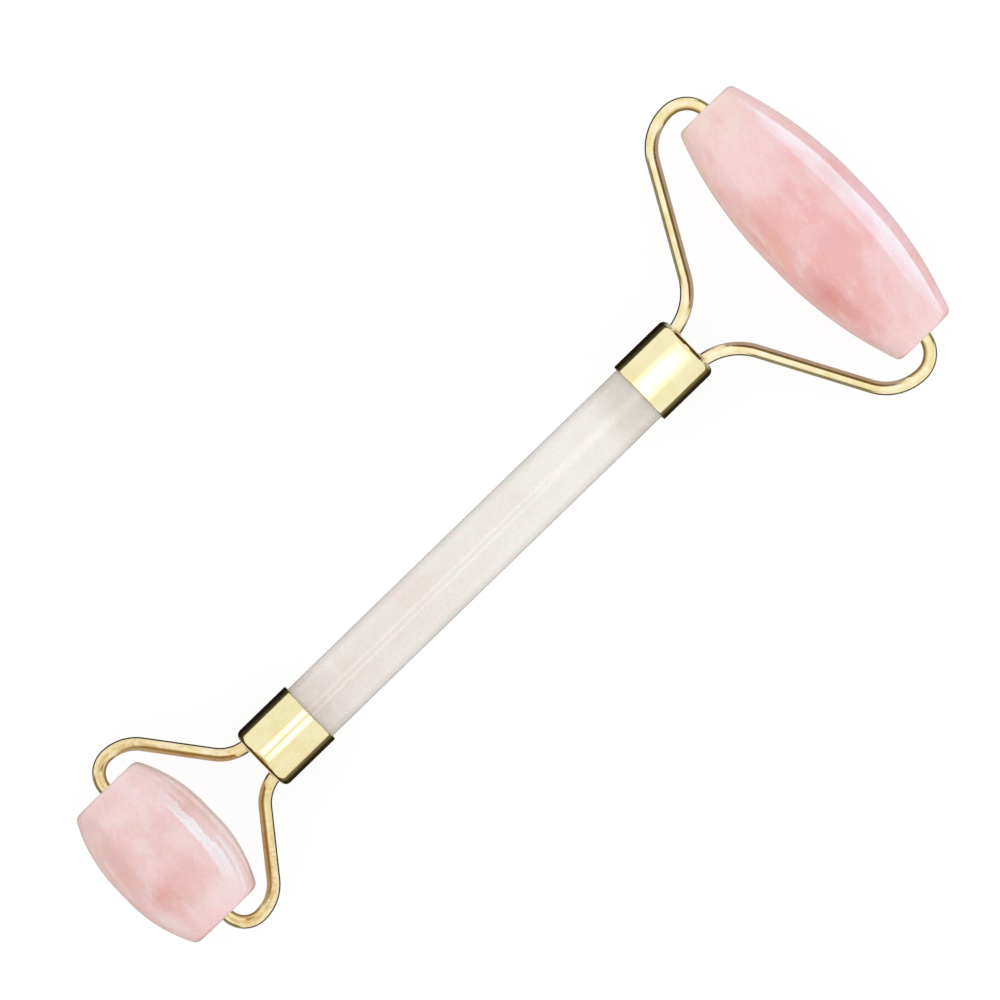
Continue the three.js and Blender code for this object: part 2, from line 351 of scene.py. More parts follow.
class Nodes:
    """Short calls for the nodes of one node tree."""

    def __init__(self, tree):
        self.tree = tree

    def put(self, socket, value):
        """Links a node's output to a socket, or sets the socket to a plain value."""
        if isinstance(value, bpy.types.NodeSocket):
            self.tree.links.new(value, socket)
        else:
            socket.default_value = value

    def surface(self, output):
        """One of the surface's own values, such as its Position."""
        return self.tree.nodes.new("ShaderNodeNewGeometry").outputs[output]

    def local(self, centre, turn=(0, 0, 0), squeeze=(1, 1, 1)):
        """Millimetres from a centre, turned, and squeezed where a pattern is to be stretched."""
        coords = self.tree.nodes.new("ShaderNodeTexCoord")
        shift = self.tree.nodes.new("ShaderNodeMapping")
        self.put(shift.inputs["Vector"], coords.outputs["Object"])
        shift.inputs["Location"].default_value = [-c / MM for c in centre]
        shift.inputs["Scale"].default_value = (1 / MM,) * 3
        if tuple(turn) == (0, 0, 0) and tuple(squeeze) == (1, 1, 1):
            return shift.outputs["Vector"]
        shape = self.tree.nodes.new("ShaderNodeMapping")
        shape.vector_type = "TEXTURE"
        self.put(shape.inputs["Vector"], shift.outputs["Vector"])
        shape.inputs["Rotation"].default_value = [math.radians(t) for t in turn]
        shape.inputs["Scale"].default_value = squeeze
        return shape.outputs["Vector"]

    def noise(self, vector, size, detail=3, roughness=0.5, ridged=False):
        """A noise from 0 to 1 whose blotches are about size millimetres across."""
        node = self.tree.nodes.new("ShaderNodeTexNoise")
        if ridged:
            node.noise_type = "RIDGED_MULTIFRACTAL"
        self.put(node.inputs["Vector"], vector)
        node.inputs["Scale"].default_value = 1 / size
        node.inputs["Detail"].default_value = detail
        node.inputs["Roughness"].default_value = roughness
        return node.outputs["Fac"]

    def vector_math(self, operation, first, second=(0, 0, 0), third=(0, 0, 0)):
        node = self.tree.nodes.new("ShaderNodeVectorMath")
        node.operation = operation
        for socket, value in zip(node.inputs, (first, second, third)):
            self.put(socket, value)
        return node.outputs["Value" if operation in ("LENGTH", "DOT_PRODUCT") else "Vector"]

    def warped(self, vector, size, amount):
        """The same coordinates, pushed about by a noise of that size, by that many millimetres."""
        node = self.tree.nodes.new("ShaderNodeTexNoise")
        self.put(node.inputs["Vector"], vector)
        node.inputs["Scale"].default_value = 1 / size
        node.inputs["Detail"].default_value = 2
        push = self.vector_math("SUBTRACT", node.outputs["Color"], (0.5, 0.5, 0.5))
        return self.vector_math("MULTIPLY_ADD", push, (2 * amount,) * 3, vector)

    def ramp(self, value, low, high, to_low=0.0, to_high=1.0):
        """Smoothly takes a value between low and high to one between to_low and to_high."""
        node = self.tree.nodes.new("ShaderNodeMapRange")
        node.interpolation_type = "SMOOTHSTEP"
        settings = {"Value": value, "From Min": low, "From Max": high}
        settings.update({"To Min": to_low, "To Max": to_high})
        for name, setting in settings.items():
            self.put(node.inputs[name], setting)
        return node.outputs["Result"]

    def math(self, operation, first, second=0.0):
        node = self.tree.nodes.new("ShaderNodeMath")
        node.operation = operation
        self.put(node.inputs[0], first)
        self.put(node.inputs[1], second)
        return node.outputs["Value"]

    def mix(self, share, first, second, blend="MIX"):
        """A colour between two, or one laid on the other in another blend mode."""
        node = self.tree.nodes.new("ShaderNodeMix")
        node.data_type = "RGBA"
        node.blend_type = blend
        self.put(node.inputs[0], share)
        self.put(node.inputs[6], first)
        self.put(node.inputs[7], second)
        return node.outputs[2]

    def axis_of(self, vector, axis):
        node = self.tree.nodes.new("ShaderNodeSeparateXYZ")
        self.put(node.inputs[0], vector)
        return node.outputs[axis]

    def blob(self, vector, centre, size):
        """1 at a place in the stone, fading to 0 at size millimetres from it along each axis."""
        offset = self.vector_math("SUBTRACT", vector, centre)
        scaled = self.vector_math("DIVIDE", offset, size)
        return self.ramp(self.vector_math("LENGTH", scaled), 1.0, 0.0)

    def bump(self, height, distance, under=None):
        """A bump whose full height is distance millimetres, laid on the one under it."""
        node = self.tree.nodes.new("ShaderNodeBump")
        node.inputs["Strength"].default_value = 1.0
        node.inputs["Distance"].default_value = distance * MM
        self.put(node.inputs["Height"], height)
        if under:
            self.put(node.inputs["Normal"], under)
        return node.outputs["Normal"]


class Finish(Nodes):
    """A material in the making."""

    def __init__(self, name):
        self.material = bpy.data.materials.new(name)
        self.material.use_nodes = True
        super().__init__(self.material.node_tree)
        self.shader = self.tree.nodes["Principled BSDF"]

    def set(self, **values):
        """Sets the shader's own sockets, named with underscores for spaces."""
        for name, value in values.items():
            self.put(self.shader.inputs[name.replace("_", " ")], value)


# ---- Materials ----


STREAK_TURN = -14  # degrees between the streaks in the stones and the heads' spin axes


def stone(name, centre, colours, patches, depth, streakiness, waviness):
    """Polished, cloudy, slightly translucent quartz. colours are its deep, body, milky and
    thread colours, patches are (place, size, colour, strength) clouds in millimetres from the
    centre, some of them painted shade or painted light, and waviness is the height of its
    polishing waves."""
    finish = Finish(name)
    deep, body, milky, thread = colours
    place = finish.local(centre)
    folded = finish.warped(place, 9, 2.2)

    clouds = finish.noise(folded, 7.5, detail=5, roughness=0.55)
    colour = finish.mix(finish.ramp(clouds, 0.36, 0.66), deep, body)
    milk = finish.noise(finish.warped(place, 14, 4), 12, detail=4, roughness=0.5)
    colour = finish.mix(finish.ramp(milk, 0.45, 0.7, 0, 0.75), colour, milky)

    # Each patch lays a cloud of colour on the stone, which for some is painted shade or painted
    # light.
    for spot, size, tint, strength in patches:
        cloud_or_painted_light = finish.blob(folded, spot, size)
        torn = finish.math("MULTIPLY", cloud_or_painted_light, finish.ramp(clouds, 0.15, 0.6, 1.15, 0.75))
        colour = finish.mix(finish.math("MULTIPLY", torn, strength), colour, tint)

    along = finish.local(centre, turn=(8, -12, STREAK_TURN), squeeze=(1, 3.4, 1.3))
    streaks = finish.noise(finish.warped(along, 4, 1.2), 1.9, detail=6, roughness=0.62)
    colour = finish.mix(finish.ramp(streaks, 0.5, 0.72, 0, streakiness), colour, milky)
    colour = finish.mix(finish.ramp(streaks, 0.48, 0.3, 0, streakiness * 0.65), colour, deep)

    slanted = finish.local(centre, turn=(12, -20, 38), squeeze=(3.5, 1, 1.4))
    threads = finish.noise(finish.warped(slanted, 5, 1.4), 6, detail=3, ridged=True)
    shown = finish.ramp(finish.noise(place, 10, detail=1), 0.45, 0.7, 0, 0.35)
    lines = finish.ramp(threads, 0.72, 1.0)
    colour = finish.mix(finish.math("MULTIPLY", lines, shown), colour, thread)

    grain = finish.noise(place, 0.45, detail=4, roughness=0.65)
    shade = finish.ramp(grain, 0.3, 0.7, 0.965, 1.025)
    colour = finish.mix(1.0, colour, shade, blend="MULTIPLY")

    polish = finish.noise(place, 2.4, detail=3)
    wavy = finish.bump(finish.noise(place, 4.5, detail=1), waviness)
    scratched = finish.local(centre, turn=(0, 25, 62), squeeze=(14, 1, 1))
    scratches = finish.ramp(finish.noise(scratched, 0.3, detail=2), 0.62, 0.8)
    finish.set(
        Base_Color=colour,
        Roughness=finish.ramp(polish, 0.35, 0.7, 0.05, 0.1),
        IOR=1.544,
        Subsurface_Weight=0.45,
        Subsurface_Radius=(1.0, 0.55, 0.5),
        Subsurface_Scale=depth,
        Normal=finish.bump(scratches, 0.0006, under=wavy),
    )
    return finish.material


TARNISH_X = (20, -50)  # millimetres, between which the tarnish grows to its full strength
RUBBED_X = (-50, -55)  # millimetres, between which the small arms' rubbed tops begin
RUBBED_HEIGHT = (0.915, 0.965)  # millimetres above the spin axes


def gold(name, colours, roughness, stretch, texture, tarnish=0.0, rubbed=0.0):
    """Gold-coloured plating. colours are its pale, its deep and its tarnished tone, stretch
    draws out the marks of its making along an axis, tarnish is how strongly brown flecks show
    towards the small end, and rubbed is how strongly the tops of the small arms are worn."""
    finish = Finish(name)
    place = finish.local((0, 0, 0))
    pale, deep, brown = colours
    tone = finish.noise(place, 3.2, detail=4, roughness=0.6)
    colour = finish.mix(finish.ramp(tone, 0.35, 0.65), pale, deep)
    fine = finish.noise(place, 0.5, detail=3, roughness=0.6)
    broad = finish.noise(place, 4, detail=2)
    spread = finish.ramp(broad, 0.4, 0.65, 0.3, 1)
    flecks = finish.math("MULTIPLY", finish.ramp(fine, 0.4, 0.75), spread)
    worn = finish.ramp(finish.axis_of(place, "X"), *TARNISH_X, tarnish * 0.2, tarnish)
    brownness = finish.math("MULTIPLY", worn, finish.math("ADD", flecks, 0.25))
    over_axis = finish.axis_of(finish.local((0, 0, AXIS_HEIGHT)), "Z")
    patchy = finish.ramp(fine, 0.3, 0.6, 0.4, 1)
    on_top = finish.math("MULTIPLY", finish.ramp(over_axis, *RUBBED_HEIGHT), patchy)
    outside = finish.ramp(finish.axis_of(place, "X"), *RUBBED_X, 0, rubbed)
    brownness = finish.math("MAXIMUM", brownness, finish.math("MULTIPLY", on_top, outside))
    colour = finish.mix(brownness, colour, brown)
    marks = finish.noise(finish.local((0, 0, 0), squeeze=stretch), 0.16, detail=3)
    smear = finish.noise(place, 1.3, detail=3)
    dull = finish.ramp(smear, 0.4, 0.75, roughness * 0.8, roughness * 1.35)
    peel = finish.bump(finish.noise(place, 0.7, detail=2), texture)
    finish.set(
        Base_Color=colour,
        Metallic=1.0,
        Roughness=finish.math("ADD", dull, finish.ramp(marks, 0.55, 0.8, 0, 0.04)),
        Normal=finish.bump(marks, texture * 0.15, under=peel),
    )
    return finish.material


def plastic(name, colours, roughness, blotch):
    """A moulded or poured plastic, mottled and slightly uneven."""
    finish = Finish(name)
    place = finish.local((0, 0, 0))
    mottle = finish.noise(place, blotch, detail=4)
    finish.set(
        Base_Color=finish.mix(finish.ramp(mottle, 0.3, 0.7), *colours),
        Roughness=finish.ramp(mottle, 0.3, 0.7, roughness, roughness * 1.3),
        Subsurface_Weight=0.2,
        Subsurface_Scale=0.6 * MM,
        Normal=finish.bump(finish.noise(place, blotch / 3, detail=3), 0.01),
    )
    return finish.material


HEAD_STONES = {
    "large": stone(
        "rose_quartz_large_head",
        middle("large_head"),
        (linear(240, 184, 182), linear(245, 203, 207), linear(245, 216, 216), linear(248, 227, 225)),
        [
            ((0, 21, 2), (11, 9.5, 11), linear(242, 227, 219), 1.0),
            ((-2, -21.5, 2), (10, 9, 10), linear(243, 219, 215), 0.95),
            ((-5.8, -9, 5.5), (4.2, 6.2, 6), linear(222, 142, 130), 1.0),
            ((-7, 4, 4), (3, 12, 5), linear(235, 180, 165), 0.8),
            ((-1, 2.5, 8), (5.5, 4.5, 5), linear(243, 182, 180), 0.7),
            ((4, 9, 7.5), (2.4, 4, 4), linear(243, 184, 188), 0.7),
            ((4, -5, 7.5), (2.6, 5, 4), linear(245, 188, 192), 0.7),
            # This patch and the next two are lighter and more lilac at the +X edge: partly the
            # stone's own colour and partly painted light, standing in for a reflection there.
            ((8.5, -3, 2), (3.6, 18, 7), linear(246, 195, 214), 0.8),
            ((5.5, 20, 2), (3, 5, 5), linear(247, 214, 228), 0.7),
            ((5.5, -20, 2), (3, 4, 5), linear(247, 214, 228), 0.7),
            ((-6.5, 17.5, 2), (3, 7, 6), linear(240, 205, 188), 0.6),
        ],
        depth=1.9 * MM,
        streakiness=0.7,
        waviness=0.012,
    ),
    "small": stone(
        "rose_quartz_small_head",
        middle("small_head"),
        (linear(233, 194, 192), linear(240, 213, 213), linear(241, 222, 223), linear(245, 231, 231)),
        [
            ((-4.4, -4.6, 7), (4.6, 4.4, 5), linear(225, 164, 156), 0.85),
            ((-6, 2, 5), (4, 9, 5), linear(229, 184, 176), 0.7),
            ((1, -9.5, 7), (6, 4.5, 6), linear(241, 222, 220), 0.7),
            ((1.5, 7, 8), (4, 3, 4), linear(242, 218, 214), 0.6),
            ((-4, 10, 4), (8, 4, 8), linear(229, 190, 187), 0.8),
            ((0, 11, 6), (6, 3.5, 4), linear(229, 192, 188), 0.7),
            ((5.5, 10, 4), (3, 3.5, 5), linear(231, 190, 188), 0.7),
            ((3.3, 5, 7.5), (1.7, 3, 3), linear(236, 188, 188), 0.6),
        ],
        depth=1.9 * MM,
        streakiness=0.5,
        waviness=0.012,
    ),
}
HANDLE_STONE = stone(
    "rose_quartz_handle",
    middle("handle_rod"),
    (linear(236, 230, 224), linear(239, 235, 230), linear(241, 238, 233), linear(244, 241, 237)),
    [
        ((-24, 0, 4), (20, 8, 9), linear(228, 214, 208), 0.75),
        ((-10, 3, 4), (7, 4, 6), linear(236, 218, 213), 0.6),
        # The last two patches are painted shade: the stone is darker and browner next to the
        # ferrules, where they keep light from it.
        ((33, 0, 0), (10, 14, 14), linear(196, 186, 170), 0.85),
        ((-33, 0, 0), (9, 14, 14), linear(196, 180, 172), 0.9),
    ],
    depth=1.4 * MM,
    streakiness=0.3,
    waviness=0.003,
)
GOLD_CAP = gold(
    "gold_plating_ferrule",
    (linear(248, 239, 197), linear(243, 231, 180), linear(226, 205, 140)),
    roughness=0.1,
    stretch=(1, 9, 9),
    texture=0.004,
    tarnish=0.35,
)
GOLD_WIRE = gold(
    "gold_plating_wire",
    (linear(252, 243, 207), linear(241, 224, 170), linear(206, 168, 108)),
    roughness=0.13,
    stretch=(6, 6, 2),
    texture=0.004,
    tarnish=0.6,
    rubbed=0.85,
)
BRAZE = gold(
    "gold_over_braze",
    (linear(196, 172, 118), linear(170, 143, 92), linear(122, 96, 58)),
    roughness=0.34,
    stretch=(1, 1, 1),
    texture=0.006,
    tarnish=0.5,
)
NYLON = plastic("natural_nylon", (linear(238, 237, 231), linear(232, 230, 221)), 0.42, blotch=1.4)
EPOXY = plastic("set_epoxy", (linear(232, 224, 200), linear(224, 214, 184)), 0.28, blotch=2.2)


# ---- Pieces ----


def finished(piece, body, node):
    """Puts a piece on its body in the place of its CAD node."""
    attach(piece, body)
    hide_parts(node)


def hand_ground(centre, depth, waves):
    """How far a hand-ground stone lies inside its true shape: shallow flats and hollows."""

    def ripple(radius, angle, height):
        around = Vector((radius * math.cos(angle), height, radius * math.sin(angle))) + centre
        return depth * (0.5 + 0.5 * noise.noise(around / waves))

    return ripple


def head_profile(crown, half_length, end_radius, corner_radius):
    """The +Y half of a head's outline, from its crown to the bottom of its blind bore."""
    land = HEAD_LAND / 2
    rise = crown - end_radius
    barrel = ((half_length - land) ** 2 + rise**2) / (2 * rise)
    centre = (crown - barrel, land)
    corner_y = half_length - corner_radius
    corner_x = centre[0] + math.sqrt((barrel - corner_radius) ** 2 - (corner_y - land) ** 2)
    meet = math.atan2(corner_y - land, corner_x - centre[0])
    mouth = (BORE_RADIUS + BORE_MOUTH_ROUND, half_length - BORE_MOUTH_ROUND)
    bottom = half_length - BORE_DEPTH
    half = arc(centre, barrel, 0, meet - HOLD / barrel, steps=24)
    half += arc((corner_x, corner_y), corner_radius, meet, math.pi / 2, steps=10)
    half += between((corner_x, half_length), (mouth[0], half_length), steps=4)
    half += arc(mouth, BORE_MOUTH_ROUND, math.pi / 2, math.pi, steps=5)
    half += between((BORE_RADIUS, mouth[1]), (BORE_RADIUS, bottom), steps=6)
    half += [(BORE_RADIUS, bottom), (0, bottom - BORE_CONE)]
    return half


def build_head(end):
    node = f"{end['name']}_head"
    size = extent(node)
    crown = size.z / 2
    half = head_profile(crown, size.y / 2, end["end_radius"], end["corner_radius"])
    land = between((crown, -HEAD_LAND / 2), (crown, HEAD_LAND / 2), steps=4)
    profile = [(r, -h) for r, h in reversed(half)] + land + half
    centre = middle(node)
    surface = hand_ground(centre, *HEAD_HOLLOWS)

    def ripple(radius, angle, height):
        return surface(radius, angle, height) if radius > BORE_RADIUS + BORE_MOUTH_ROUND else 0

    stone_head = turned(
        f"{node}_stone", profile, turning("Y", centre), HEAD_STONES[end["name"]],
        segments=128, ripple=ripple,
    )
    stone_head.visible_glossy = False  # the picture's metal mirrors the dark cards instead
    finished(stone_head, f"{end['name']}_roller", node)


def build_bush(end, side):
    """A smooth nylon sleeve in the place of its faceted CAD solid."""
    node = f"{end['name']}_bush_{side}"
    size = extent(node)
    outer = size.z / 2
    half = size.y / 2
    corner = (outer - BUSH_ROUND, half - BUSH_ROUND)
    top = arc(corner, BUSH_ROUND, 0, math.pi / 2, steps=4)
    profile = [(BUSH_HOLE_RADIUS, -half)]
    profile += [(r, -h) for r, h in reversed(top)] + top
    profile += [(BUSH_HOLE_RADIUS, half)]
    place = turning("Y", middle(node))
    sleeve = turned(f"{node}_sleeve", profile, place, NYLON, segments=48, closed=True)
    finished(sleeve, f"{end['name']}_roller", node)


def build_handle():
    low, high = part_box("handle_rod")
    centre = Vector((0, middle("handle_rod").y, AXIS_HEIGHT))
    corner = extent("handle_rod").z / 2 - HANDLE_END_ROUND
    rounding = HANDLE_END_ROUND
    start = arc((corner, low.x + rounding), rounding, -math.pi / 2, 0, steps=5)
    stop = arc((corner, high.x - rounding), rounding, 0, math.pi / 2, steps=5)
    side = between(start[-1], stop[0], steps=90)
    profile = [(0, low.x)] + start + side + stop + [(0, high.x)]
    surface = hand_ground(centre, *HANDLE_HOLLOWS)
    rod = turned("handle_rod_stone", profile, turning("X", centre), HANDLE_STONE, ripple=surface)
    finished(rod, "handle", "handle_rod")


def end_face(end):
    """Where the closed end of a ferrule lies along X."""
    low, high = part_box(f"{end['name']}_ferrule")
    return high.x if end["toward"] > 0 else low.x


def exit_of(end, sign):
    """Where an arm passes the ferrule's end face, and the way that it leaves, both flat."""
    point = Vector((end_face(end), EXIT_OFFSET * sign))
    along = Vector((math.cos(EXIT_ANGLE) * end["toward"], math.sin(EXIT_ANGLE) * sign))
    return point, along


def arm_line(end, sign):
    """The centre line of one arm, as in the CAD source: out of the ferrule, up the slope,
    round the outer bend and inwards along the spin axis."""
    point, along = exit_of(end, sign)
    head = f"{end['name']}_head"
    spin_x = middle(head).x
    tail = point - along * TAIL_LENGTH
    neck = point + along * end["neck_corner"]
    rise = end["reach"] - abs(neck.y)
    elbow = Vector((neck.x + rise / math.tan(end["slope"]) * end["toward"], end["reach"] * sign))
    turn = Vector((spin_x, end["reach"] * sign))
    tip = Vector((spin_x, (extent(head).y / 2 - PIN_DEPTH) * sign))
    elbow_radius = ((turn - elbow).length - end["tip_radius"]) / math.tan(end["slope"] / 2)
    radii = [end["neck_radius"], elbow_radius, end["tip_radius"]]
    return rounded_line([tail, neck, elbow, turn, tip], radii, WIRE_STEP)


def build_arm(end, side):
    node = f"{end['name']}_arm_{side}"
    wire = bar(f"{node}_wire", arm_line(end, SIDES[side]), WIRE_RADIUS, GOLD_WIRE)
    finished(wire, "handle", node)


def rim_drop(radius, ferrule_radius):
    """How far the ferrule's round rim lies behind its end face, at a distance from its axis."""
    over = max(0.0, radius - (ferrule_radius - FERRULE_RIM_RADIUS))
    return FERRULE_RIM_RADIUS - math.sqrt(max(0.0, FERRULE_RIM_RADIUS**2 - over**2))


def build_braze(end, side):
    """A hollow-faced collar of braze metal, which runs out on the ferrule's end face, climbs
    the wire and fills the hole round it."""
    node = f"{end['name']}_solder_{side}"
    flat_point, flat_along = exit_of(end, SIDES[side])
    point = Vector((flat_point.x, flat_point.y, AXIS_HEIGHT))
    along = Vector((flat_along.x, flat_along.y, 0))
    across = Vector((-along.y, along.x, 0))
    ferrule_radius = extent(f"{end['name']}_ferrule").z / 2
    wire_side = WIRE_RADIUS * BRAZE_FIT[0]
    hole_side = WIRE_HOLE_RADIUS * BRAZE_FIT[1]

    def on_face(spot):
        """How far along the wire a spot has to move to lie on the ferrule's end face."""
        from_axis = math.hypot(spot.y, spot.z - AXIS_HEIGHT)
        face_x = point.x - rim_drop(from_axis, ferrule_radius) * end["toward"]
        return (face_x - spot.x) / along.x

    def flared(around, share):
        """A spot on the collar's hollow face: share 0 is its foot and 1 is on the wire."""
        wave = noise.noise(around * BRAZE_RIPPLE + Vector((0, 0, point.y / MM)))
        width = (BRAZE_RADIUS - WIRE_RADIUS) * (1 + BRAZE_UNEVEN * wave)
        spot = point + around * (wire_side + width * (1 - share))
        climb = BRAZE_HEIGHT * (1 + BRAZE_UNEVEN * wave) * (1 - math.sqrt(1 - share**2))
        return spot + along * (on_face(spot) * (1 - share) + climb)

    def plain(radius, depth):
        return lambda around: point + around * radius - along * depth

    steps = BRAZE_STEPS
    rows = [lambda around, s=i / steps: flared(around, s) for i in range(steps + 1)]
    rows += [plain(wire_side, BRAZE_INSIDE), plain(hole_side, BRAZE_INSIDE)]
    rows += [plain(hole_side, BRAZE_SHOULDER)]
    rings = [[row(spoke) for spoke in spokes(across, BRAZE_SIDES)] for row in rows]
    collar = skinned(f"{node}_collar", rings, BRAZE, closed=True)
    finished(collar, "handle", node)


def build_ferrule(end):
    """A cup with a closed, round-rimmed end, drilled for its two wires."""
    node = f"{end['name']}_ferrule"
    toward = end["toward"]
    length = extent(node).x
    mouth = end_face(end) - length * toward
    outer = extent(node).z / 2
    inner = outer - FERRULE_WALL
    rim = (outer - FERRULE_RIM_RADIUS, length - FERRULE_RIM_RADIUS)
    lip = FERRULE_MOUTH_ROUND
    chamfer = FERRULE_MOUTH_CHAMFER
    depth = length - FERRULE_END_WALL
    profile = [(0, depth), (inner, depth)]
    profile += between((inner, depth), (inner, chamfer), steps=8)
    profile += [(inner, chamfer), (inner + chamfer, 0)]
    profile += arc((outer - lip, lip), lip, -math.pi / 2, 0, steps=5)
    profile += between((outer, lip), (outer, rim[1]), steps=12)
    profile += arc(rim, FERRULE_RIM_RADIUS, 0, math.pi / 2, steps=10)
    profile += between((rim[0], length), (0, length), steps=5)
    profile += [(0, length)]
    placed = [(r, mouth + h * toward) for r, h in profile]
    centre = Vector((0, middle(node).y, AXIS_HEIGHT))
    cup = turned(f"{node}_cap", placed, turning("X", centre), GOLD_CAP, segments=128)
    cutters = []
    for sign in SIDES.values():
        point, along = exit_of(end, sign)
        ends = [point + along * reach for reach in (-DRILL_REACH, DRILL_REACH)]
        hole = straight(*ends, DRILL_STEP) + [(ends[1], along)]
        cutters.append(bar(f"{node}_drill", hole, WIRE_HOLE_RADIUS, GOLD_CAP))
    drilled(cup, cutters)
    finished(cup, "handle", node)


build_handle()
for roller_end in ENDS:
    build_ferrule(roller_end)
    build_head(roller_end)
    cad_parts[f"{roller_end['name']}_adhesive"].material_slots[0].material = EPOXY
    for side_name in SIDES:
        build_arm(roller_end, side_name)
        build_braze(roller_end, side_name)
        build_bush(roller_end, side_name)


# ---- Studio ----

CAMERA_DISTANCE = 1.2
FRAME_WIDTH = 0.1411  # what the picture shows across, at the height of the spin axes
FRAME_CENTRE = (0.00463, 0.00287)
CAMERA_TURN = math.radians(-44.14)

FLOOR_RADIUS = 8.0
FLOOR_GLOW = 0.87
FLOOR_SCATTER = 0.15

# What polished surfaces see round them. Angles are in degrees above the horizon, or round from
# +X for the places of the dark cards.
TENT_RADIUS = 3.0
DARK_TOP = (-19, -13)  # between which the dark below gives way to the white above
DARK_TONES = ((0.02, 0.016, 0.01, 1), (0.14, 0.115, 0.075, 1))  # at the bottom and at the top
DARK_TONE_RISE = (-46, -20)
DARK_SIDES = (1.35, 0.5)  # how bright it is at -Y and at +Y, against those tones
CARD_TOP = (23, 17)
CARD_TONES = ((0.3, 0.3, 0.21, 1), (0.2, 0.19, 0.13, 1))
CARD_TONE_RISE = (-20, 10)
LARGE_CARD = (34, 22)
SMALL_CARD = (180 - 42, 180 - 32)

# Flags stand inside the forks. They are painted reflections: seen only in mirrors, they stand in
# for the heads, which the metal doesn't mirror, with a dark line for the heads' shaded sides.
# Those beside the slopes of the arms show in them as a tan band and a dark line, and those
# inside the outer bends as a brown edge. Their colours are in rows with the angles above the
# wire between which each one comes in.
SLOPE_FLAG_GAP = 5.0 * MM
# How far the wire may turn from its slope beside a flag, towards either end
SLOPE_FLAG_TURN = {"ferrule": math.radians(36), "head": math.radians(62)}
BEND_FLAG_GAP = 2.2 * MM
BEND_FLAG_TURN = (math.radians(28), math.radians(55))  # between which it grows to its height
FLAG_FOOT = -60  # the lower edge of both, as such an angle
FLAGS = {
    "large": {
        "slope": [
            ((0.46, 0.37, 0.39),),
            ((0.17, 0.11, 0.053), 28, 35),
            ((0.4, 0.33, 0.24), 60, 71),
        ],
        "bend": [((0.24, 0.17, 0.07),), ((0.9, 0.85, 0.75), 2, 48)],
    },
    "small": {
        "slope": [
            ((0.52, 0.39, 0.31),),
            ((0.34, 0.21, 0.095), 22, 30),
            ((0.76, 0.64, 0.47), 48, 77),
        ],
        "bend": [((0.3, 0.2, 0.09),), ((0.92, 0.86, 0.75), -5, 42)],
    },
}

# Small flags before the closed ends of the ferrules show in their rims and in their flats, as
# painted reflections: a dark one of the head's shaded side in the rim, and one from tan to pale
# in the flat.
RIM_FLAG = [((0.07, 0.036, 0.014),)]
RIM_FLAG_GAP = 0.5 * MM
RIM_FLAG_TURN = {"large": math.radians(38), "small": math.radians(78)}  # from the ferrule's top
RIM_FLAG_REACH = (-0.9 * MM, 0.12 * MM)  # from the ferrule's outside
RIM_FLAG_STEPS = 12
FACE_FLAG = [((0.4, 0.36, 0.28),), ((0.9, 0.88, 0.82), -83, 83)]
FACE_FLAG_GAP = 0.3 * MM
FACE_FLAG_REACH = 0.15 * MM  # past the edge of the flat
# The fork cards show only in mirrors, as a painted reflection of the floor under each fork, darker
# than the floor.
FORK_CARD = (0.5, 0.48, 0.42, 1)  # a card that lies under each fork
FORK_CARD_FADE = (8.5 * MM, 1.5 * MM)  # past the ends of the head, between which it fades in
FORK_CARD_SQUEEZE = 0.75  # along X, which keeps it clear of the ferrule

# Long soft lights above the roller, with what they light, where their reflections start and
# stop along X, the angles between which they lie on either side, how far those two edges fade
# as shares of their width, how far their two ends fade, and their radiance.
OVERHEAD_DROP = 0.35  # from the lights down to the spin axes
OVERHEADS = [
    ("handle_rod", (-0.6, 0.0165), (6.8, 16.8), (0.2, 0.4), (0, 0.005), 1.8),
    ("handle_rod", (0.009, 0.6), (0.0, 22.0), (0, 0.6), (0.006, 0), 1.5),
    ("small_ferrule", (-0.0445, -0.0358), (3.5, 25.0), (0.15, 0.45), (0.00112, 0.00067), 1.8),
    ("large_ferrule", (0.02, 0.0382), (0.0, 46.0), (0, 0.95), (0, 0.0047), 1.5),
    ("large_arm", (-0.6, 0.6), (0.0, 40.0), (0, 1.0), (0, 0), 0.1),
    ("small_arm", (-0.6, 0.6), (0.0, 40.0), (0, 1.0), (0, 0), 0.1),
]

# Windows beyond the heads on their +X side, for the long highlights on the barrels: the rise of
# their lower and upper edges in degrees, their reach to -Y and +Y, how far they fade in from
# those four edges as shares of the window, their radiance and their colour.
KEY_DISTANCE = 0.7
KEY_BLUE = (0.3, 0.88, 1.0)  # makes white with the pink of the stone
KEYS = [
    ("large", (-19, 28), (-0.42, 0.52), (0.05, 0.18, 0.22, 0.34), 4.6, (0.3, 0.84, 1.0)),
    ("small", (-3, 29), (-0.5, 0.5), (0.1, 0.2, 0.35, 0.45), 5.2, KEY_BLUE),
    ("small", (-26, -8), (-0.54, 0.42), (0.3, 0.2, 0.2, 0.5), 2.3, KEY_BLUE),
    ("small", (-58, -20), (-0.9, 0.9), (0.3, 0.3, 0.1, 0.1), 0.8, (1, 1, 1)),
]
KEY_SWING = math.radians(20)


def sheet_of_light(name, colour, strength, scatter=0.0):
    """A stage material that gives out light, and with scatter also returns what reaches it."""
    finish = Finish(name)
    finish.set(
        Base_Color=(scatter, scatter, scatter, 1),
        Roughness=1.0,
        Specular_IOR_Level=0.0,
        Emission_Color=colour,
        Emission_Strength=strength,
    )
    finish.material.cycles.emission_sampling = "NONE"
    return finish


